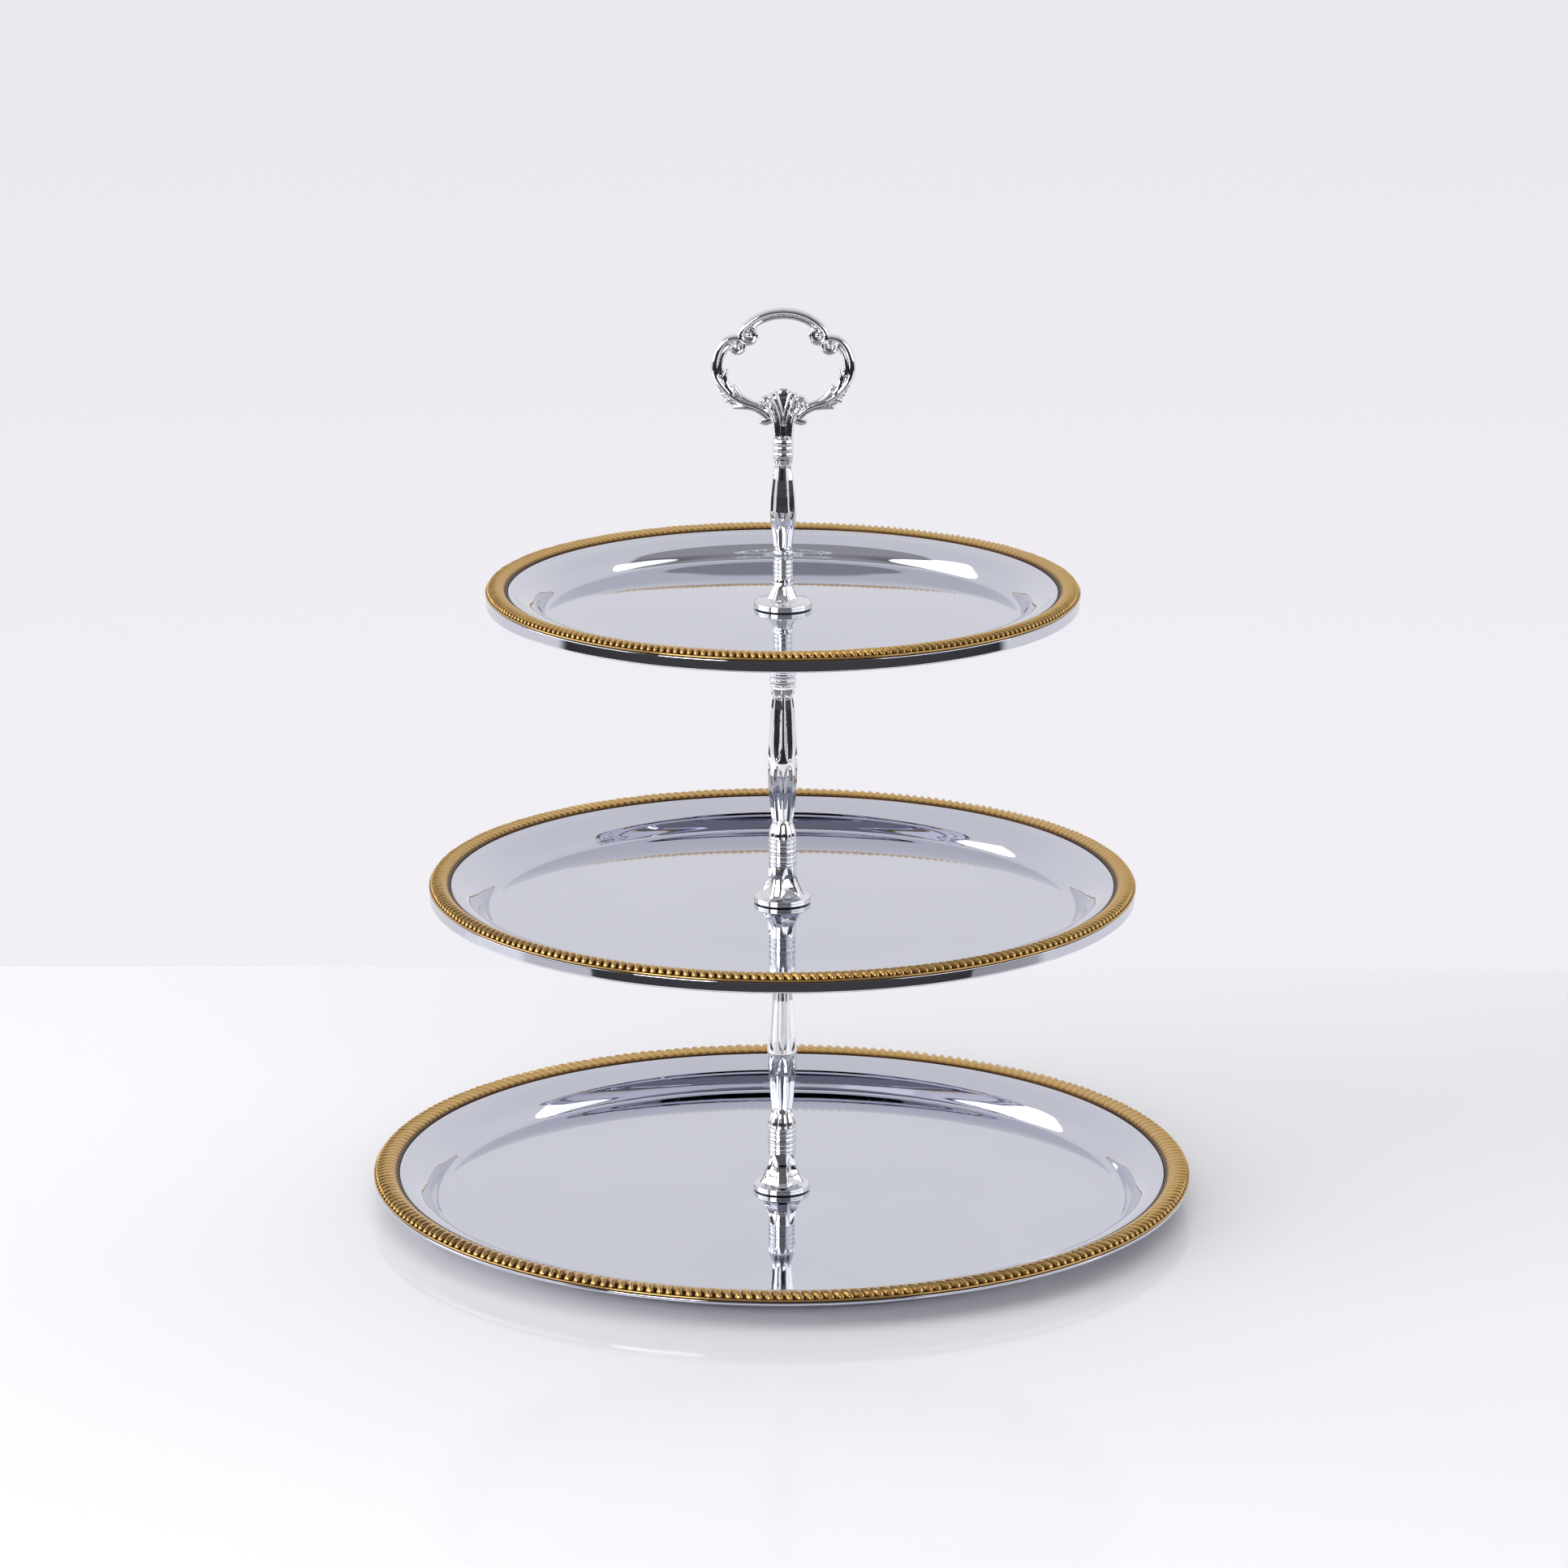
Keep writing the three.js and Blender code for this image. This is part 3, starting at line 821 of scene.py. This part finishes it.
def scroll_end(centre, line, start, turns, radii, sizes, depth):
    """A roll that comes along a line and curls round a ball."""
    curl = spiral(centre, start, turns, *radii, 34)
    path = np.vstack([curve(line, 30), curl[1:]])
    size = np.interp(np.linspace(0, 1, len(path)), np.linspace(0, 1, len(sizes)), sizes)
    return tube(path, size, depth / np.maximum(size, depth / 2.2))


def arch_parts():
    """Right half of the top arch: a heavy outer roll and a fine inner bead, curling round a ball."""
    eye = (14.4, 375.8)
    roll = [(0, 385.5), (5.0, 384.95), (9.6, 383.4), (13.4, 381.1), (16.3, 378.5), (17.9, 375.8)]
    sizes = [1.78, 1.8, 1.72, 1.45, 1.05, 0.95]
    bead = [(0, 383.5), (4.5, 383.0), (8.4, 381.7), (11.0, 380.2), (12.4, 378.8)]
    return [
        scroll_end(eye, roll, 0, -0.72, (3.45, 3.2), sizes, 2.4),
        rib(bead, [1.12, 1.08, 0.9], 1.9),
        ball(*eye, 1.95, 2.4),
        ball(*eye, 3.1, 0.9),
    ]


def side_parts():
    """Right-hand side scroll, with its own bead and eye."""
    eye = (19.4, 371.1)
    roll = [(23.2, 351.2), (26.0, 354.4), (27.9, 357.6), (28.45, 360.9), (28.2, 364.7)]
    roll += [(27.1, 368.5), (25.2, 371.7), (22.7, 373.8), (19.6, 374.5)]
    sizes = [1.6, 1.75, 1.78, 1.65, 1.25, 1.0, 0.9]
    bead = [(22.4, 371.2), (24.0, 369.4), (25.5, 366.2), (26.1, 362.4), (26.1, 358.8)]
    return [
        scroll_end(eye, roll, 90, 0.70, (3.3, 2.8), sizes, 2.3),
        rib(bead, [0.85, 1.2, 1.15, 1.0], 1.7),
        ball(*eye, 1.85, 2.3),
        ball(*eye, 2.8, 0.9),
        ball(16.9, 373.6, 1.5, 1.5),
    ]


def leaf_parts():
    """Leaves on the right, and the branch that carries them down to the neck."""
    branch = [(25.9, 354.6), (23.2, 351.3), (20.0, 348.7), (16.0, 346.7)]
    branch += [(12.0, 345.3), (8.6, 343.6), (5.4, 340.8)]
    outer_leaf = [(23.6, 360.6), (24.3, 358.6), (24.2, 356.0), (23.2, 353.5), (21.2, 351.1)]
    inner_leaf = [(20.5, 354.1), (19.5, 351.9), (17.0, 349.2), (13.8, 347.4), (10.2, 346.2)]
    low_leaf = [(20.9, 344.9), (17.2, 345.1), (13.0, 344.7), (9.6, 343.0), (7.0, 340.6)]
    web = [(26.6, 357.0), (24.6, 352.8), (20.6, 348.3), (15.6, 346.2), (8.0, 344.4)]
    return [
        rib(branch, [1.5, 1.6, 1.5, 1.4, 1.6], 2.0, 40),
        rib(outer_leaf, [0.95, 1.4, 1.55, 1.4], 1.9),
        rib(inner_leaf, [0.9, 1.25, 1.15, 1.0], 1.9),
        rib([(25.6, 350.4), (24.2, 350.6), (22.4, 350.3)], [0.6, 0.9, 1.0], 1.6, 14),
        rib([(24.3, 347.6), (22.4, 348.3), (19.8, 348.3)], [0.65, 0.95, 1.1], 1.8, 14),
        rib(low_leaf, [0.6, 1.0, 1.15, 1.15, 1.1], 1.9, 30),
        rib(web, [1.9, 2.3, 2.5, 2.1, 1.9], 1.1, 30),
    ]


def shell_parts():
    """Right half of the neck: hook leaf, the curl beside the shell, and the shell's ribs."""
    hook = [(4.0, 341.6), (5.4, 340.0), (7.4, 339.1), (9.2, 339.1)]
    curl = [(4.3, 343.4), (5.2, 347.2), (6.4, 349.2), (8.2, 349.0), (9.2, 347.5), (8.6, 346.2)]
    outer_rib = [(6.2, 344.9), (4.5, 341.7), (3.6, 338.3), (3.1, 332.9)]
    middle_rib = [(5.1, 350.5), (3.7, 347.3), (2.2, 343.6), (1.25, 339.6), (1.0, 332.9)]
    inner_rib = [(3.25, 351.4), (2.1, 348.4), (1.0, 345.2), (0.25, 341.6), (0.0, 338.0)]
    return [
        rib(hook, [1.2, 1.7, 1.85, 1.2], 1.9, 16),
        rib(curl, [1.0, 1.0, 0.95, 0.9], 2.1, 30),
        ball(7.1, 346.9, 1.3, 1.9),
        ball(7.0, 347.0, 2.6, 1.1),
        rib(outer_rib, [1.0, 1.3, 1.35, 1.3], 2.9, 24),
        rib(middle_rib, [0.95, 0.8, 0.72, 0.62], 2.75, 30),
        rib(inner_rib, [0.85, 0.75, 0.6], 2.6, 26),
    ]


def neck_parts():
    """The shell's middle and the plate behind it."""
    return [
        rib([(0, 342.0), (0, 345.0), (0, 348.0), (0, 350.2)], [0.9, 1.8, 3.0, 3.2], 1.55, 30),
        rib([(0, 332.9), (0, 338.0), (0, 343.0), (0, 347.0)], [3.8, 3.8, 4.6, 5.2], 2.0, 40),
    ]


def fused(name, parts, voxel):
    """One skin over all the parts, softened as a casting is. voxel is in millimetres."""
    points, faces, count = [], [], 0
    for p, quads, triangles in parts:
        points.append(p)
        faces += [[i + count for i in f] for f in quads.tolist()]
        faces += [[i + count for i in f] for f in triangles.tolist()]
        count += len(p)
    mesh = bpy.data.meshes.new(name + "_parts")
    mesh.from_pydata((np.vstack(points) * MM).tolist(), [], faces)
    raw = bpy.data.objects.new(name + "_parts", mesh)
    bpy.context.scene.collection.objects.link(raw)
    remesh = raw.modifiers.new("fuse", "REMESH")
    remesh.mode = "VOXEL"
    remesh.voxel_size = voxel * MM
    smooth = raw.modifiers.new("soften", "SMOOTH")
    smooth.factor = 0.5
    smooth.iterations = 8
    bpy.context.view_layer.update()
    solid = bpy.data.meshes.new_from_object(raw.evaluated_get(bpy.context.evaluated_depsgraph_get()))
    bpy.data.objects.remove(raw)
    solid.name = name
    solid.polygons.foreach_set("use_smooth", np.ones(len(solid.polygons), bool))
    obj = bpy.data.objects.new(name, solid)
    bpy.context.scene.collection.objects.link(obj)
    return obj


def handle():
    """The carrying handle, fused from ribs and balls placed by their height above the table."""
    parts = mirrored(arch_parts() + side_parts() + leaf_parts() + shell_parts()) + neck_parts()
    obj = fused("scroll_handle", parts, 0.17)
    settle(obj, HANDLE_CHROME, "handle", ["handle"])


# ---------------------------------------------------------------- stage


def area_light(name, place, aim, size, brightness, glossy=True, diffuse=True):
    """A soft box; brightness is its radiance. It may light only gloss or only matt surfaces."""
    data = bpy.data.lights.new(name, "AREA")
    data.shape, (data.size, data.size_y) = "RECTANGLE", size
    data.energy = brightness * math.pi * size[0] * size[1]
    obj = bpy.data.objects.new(name, data)
    obj.location = place
    obj.rotation_mode = "QUATERNION"
    obj.rotation_quaternion = (Vector(aim) - Vector(place)).to_track_quat("-Z", "Y")
    obj.visible_camera = False
    obj.visible_glossy, obj.visible_diffuse = glossy, diffuse
    bpy.context.scene.collection.objects.link(obj)


def table_top():
    """A glossy white table top whose far edge is the horizon."""
    front, back, half, thick, bevel = -0.80, 0.352, 1.5, 0.03, 0.004
    gap = 0.00005  # keeps the table's face clear of the tray's
    outline = [(-half, front), (half, front), (half, back), (-half, back)]
    mesh = bpy.data.meshes.new("table_top")
    levels = [(0, -thick), (0, -bevel), (bevel, 0)]
    points = []
    for inset, z in levels:
        for x, y in outline:
            points.append((x - math.copysign(inset, x), y - math.copysign(inset, y), z - gap))
    faces = [[3, 2, 1, 0], [8, 9, 10, 11]]
    for row in (0, 4):
        for i in range(4):
            following = (i + 1) % 4
            faces.append([row + i, row + following, row + 4 + following, row + 4 + i])
    mesh.from_pydata(points, [], faces)
    obj = bpy.data.objects.new("table_top", mesh)
    bpy.context.scene.collection.objects.link(obj)
    n = Nodes("table_white")
    tone = n.ramp(n.noise(1.5, 2), (0.3, (0.825, 0.82, 0.845)), (0.7, (0.85, 0.845, 0.865)))
    white = n.finish(Base_Color=tone, Roughness=0.09, IOR=1.45, Specular_IOR_Level=0.22)
    obj.data.materials.append(white)


def surroundings():
    """The room: a pale wall behind, a grey ceiling, and the dark studio in front. Only what is seen
    straight on by the camera is the plain backdrop."""
    world = bpy.data.worlds.new("studio")
    bpy.context.scene.world = world
    world.use_nodes = True
    tree = world.node_tree
    tree.nodes.clear()

    def add(kind, **settings):
        node = tree.nodes.new(kind)
        for key, value in settings.items():
            setattr(node, key, value)
        return node

    def maths(operation, *values):
        node = add("ShaderNodeMath", operation=operation)
        for socket, value in zip(node.inputs, values):
            if isinstance(value, bpy.types.NodeSocket):
                tree.links.new(value, socket)
            else:
                socket.default_value = value
        return node.outputs[0]

    def scaled(value, factor):
        return maths("MULTIPLY", value, factor)

    def eased(value, low, high):
        node = add("ShaderNodeMapRange", interpolation_type="SMOOTHSTEP")
        node.inputs["From Min"].default_value = low
        node.inputs["From Max"].default_value = high
        tree.links.new(value, node.inputs["Value"])
        return node.outputs["Result"]

    direction = add("ShaderNodeSeparateXYZ")
    tree.links.new(add("ShaderNodeTexCoord").outputs["Generated"], direction.inputs[0])
    _, ahead, up = direction.outputs
    back = eased(maths("ADD", ahead, scaled(up, 0.16)), -0.02, 0.09)
    wall = scaled(back, maths("SUBTRACT", 0.82, scaled(eased(up, 0.3, 0.8), 0.06)))
    ceiling = maths("MAXIMUM", scaled(eased(up, 0.42, 0.68), 0.36), scaled(eased(up, 0.12, 0.22), 0.12))
    off_level = eased(maths("ABSOLUTE", maths("ADD", up, 0.02)), 0.03, 0.12)
    far_room = scaled(maths("SUBTRACT", 1.0, off_level), 0.05)
    dark_floor = scaled(eased(scaled(up, -1), -0.02, 0.14), 0.015)
    dark = maths("ADD", maths("ADD", dark_floor, far_room), 0.01)
    light = maths("ADD", maths("MAXIMUM", wall, ceiling), dark)
    backdrop = add("ShaderNodeBackground")
    tint = add("ShaderNodeMix", data_type="RGBA")
    tree.links.new(eased(up, -0.275, -0.13), tint.inputs["Factor"])
    tint.inputs["A"].default_value = (0.885, 0.87, 0.915, 1)
    tint.inputs["B"].default_value = (0.83, 0.81, 0.855, 1)
    tree.links.new(tint.outputs["Result"], backdrop.inputs["Color"])
    room = add("ShaderNodeBackground")
    room.inputs["Color"].default_value = (0.975, 0.975, 1.0, 1)
    tree.links.new(light, room.inputs["Strength"])
    mix = add("ShaderNodeMixShader")
    tree.links.new(add("ShaderNodeLightPath").outputs["Is Camera Ray"], mix.inputs[0])
    tree.links.new(room.outputs[0], mix.inputs[1])
    tree.links.new(backdrop.outputs[0], mix.inputs[2])
    tree.links.new(mix.outputs[0], add("ShaderNodeOutputWorld").inputs["Surface"])


def studio():
    """Boxes that only the plate mirrors, and fills that only light the table."""
    table_top()
    surroundings()
    table = (0, 0, 0)
    area_light("left_box", (-2.2, -0.22, 1.08), (0, -0.22, 0.7), (2.3, 1.6), 1.7, diffuse=False)
    area_light("right_box", (2.15, -0.95, 1.05), (0, 0, 0.8), (2.7, 1.5), 1.3, diffuse=False)
    area_light("front_lamp", (-1.5, -2.1, 1.35), (0, 0, 0.2), (1.2, 1.0), 9.0, diffuse=False)
    area_light("left_fill", (-2.4, -1.2, 1.3), table, (2.4, 1.8), 3.9, glossy=False)
    area_light("top_fill", (0.2, -1.2, 2.5), table, (3.0, 2.2), 0.62, glossy=False)
    area_light("front_fill", (0, -2.6, 0.9), table, (2.4, 1.0), 4.2, glossy=False)
    area_light("back_fill", (0, 1.0, 1.3), (0, 0.45, 0), (3.0, 0.8), 1.0, glossy=False)
    bpy.context.scene.view_settings.view_transform = "Standard"


def camera():
    """A long lens in front of the stand, looking down on it."""
    data = bpy.data.cameras.new("camera")
    data.sensor_width, data.lens = 36.0, 148.9
    obj = bpy.data.objects.new("camera", data)
    yaw, tilt, roll = math.radians(-0.013), math.radians(90 - 14.693), math.radians(0.118)
    turn = Matrix.Rotation(yaw, 4, "Z") @ Matrix.Rotation(tilt, 4, "X") @ Matrix.Rotation(roll, 4, "Z")
    obj.matrix_world = Matrix.Translation((0.0, -2.654, 0.8787)) @ turn
    bpy.context.scene.collection.objects.link(obj)
    bpy.context.scene.camera = obj


# ---------------------------------------------------------------- the stand

SILVER, GOLD, CHROME = silver_plate(), gold_plate(), chrome()
HANDLE_CHROME, STEEL, PLASTIC = chrome("handle_chrome", 0.000008), zinc_steel(), clear_plastic()

for level in LEVELS:
    tray_sheet(level)
    tray_border(level)
for level in LEVELS[:2]:
    tier_stem(level)
upper_stem()
stud("middle_stud", 0.8)
stud("upper_stud", 0.8)
stud("handle_stud", 0.7)
foot_screw()
washer("foot_washer", "base", STEEL, "steel")
washer("lower_clear_washer", "lower_washer", PLASTIC, "clear_plastic")
washer("middle_clear_washer", "middle_stud", PLASTIC, "clear_plastic")
washer("upper_clear_washer", "upper_stud", PLASTIC, "clear_plastic")
handle()
studio()
camera()
